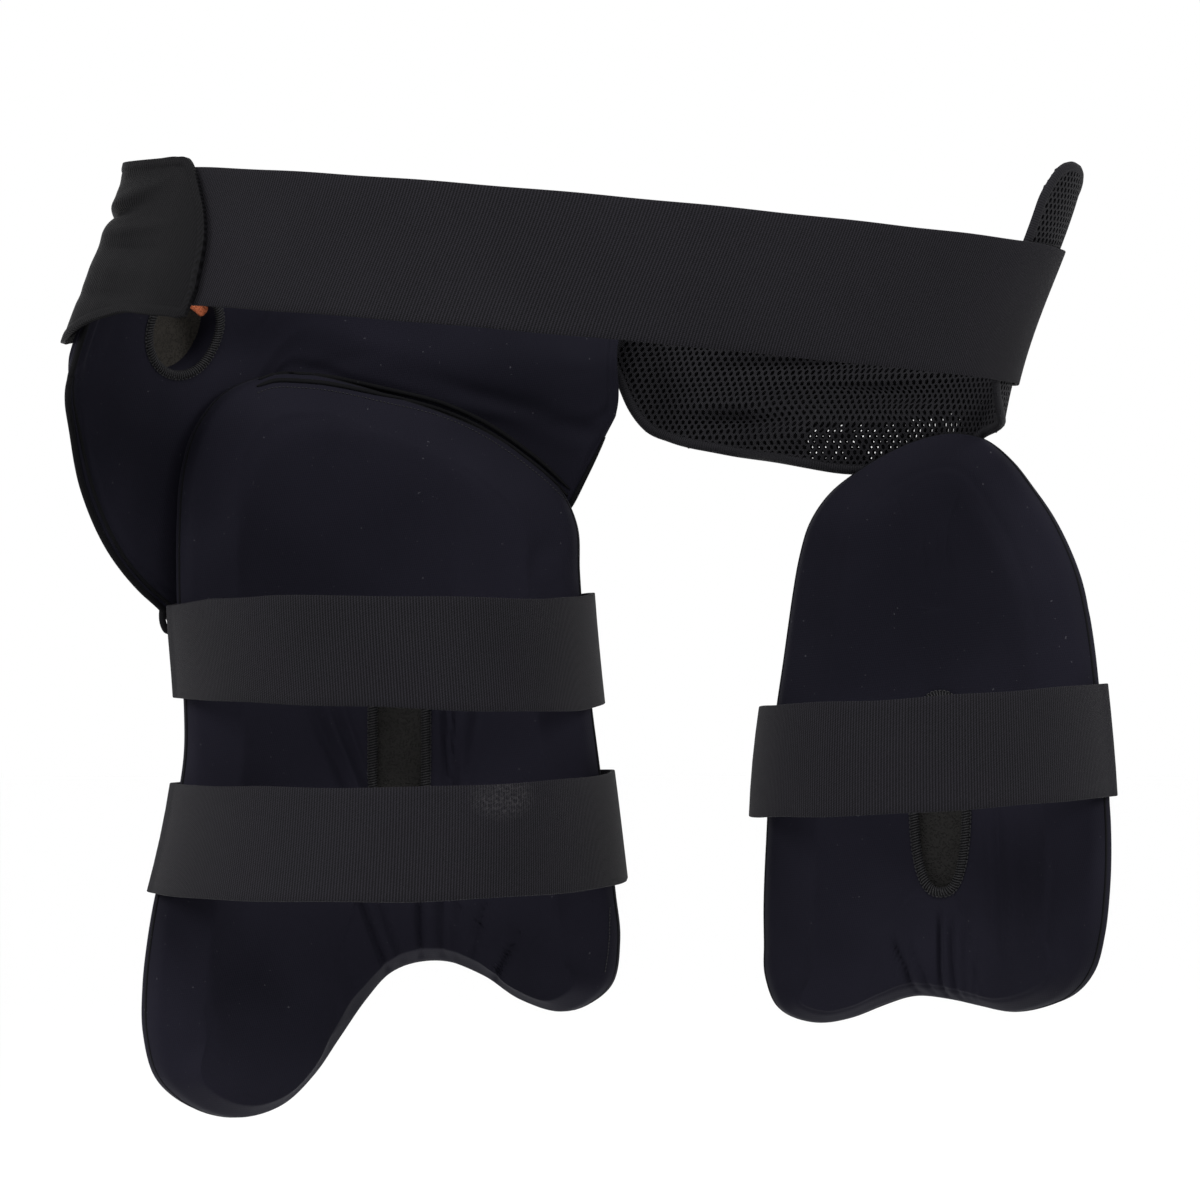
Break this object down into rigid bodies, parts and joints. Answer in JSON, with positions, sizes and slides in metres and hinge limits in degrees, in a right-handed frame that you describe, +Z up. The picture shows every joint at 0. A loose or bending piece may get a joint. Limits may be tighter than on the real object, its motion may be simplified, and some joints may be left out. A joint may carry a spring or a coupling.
{
  "type": "cricket thigh guard",
  "caption": "Waist belt with a large padded guard for the front thigh and a smaller pad for the other thigh, each closed behind the leg by elastic straps.",
  "frame": {"origin": "middle of the waist loop, at the height of the middle of the waist strap behind the wearer", "axes": "+X towards the wearer's right, +Y towards the wearer's front, +Z up"},
  "size_m": [0.4733, 0.2035, 0.4363],
  "materials": {
    "stretch_cloth": "smooth stretch cloth with a soft sheen, near black with a navy tint",
    "foam": "open foam seen through the pocket openings, grey-brown",
    "tab_webbing": "fine ribbed woven tab with a stitched border",
    "waist_elastic": "wide ribbed woven elastic",
    "thigh_elastic": "ribbed woven elastic",
    "spacer_mesh": "open spacer mesh with small oval holes",
    "piping": "narrow folded binding with stitching"
  },
  "bodies": {
    "root": {"hip_cover": "stretch_cloth", "hip_foam": "foam", "hip_tab": "tab_webbing", "waist_strap": "waist_elastic", "mesh_panel": "spacer_mesh", "thigh_cover": "stretch_cloth", "thigh_foam": "foam", "thigh_strap_upper": "thigh_elastic", "thigh_strap_lower": "thigh_elastic", "hem_piping": "piping", "inner_thigh_cover": "stretch_cloth", "inner_thigh_foam": "foam", "inner_thigh_strap": "thigh_elastic"}
  },
  "joints": []
}
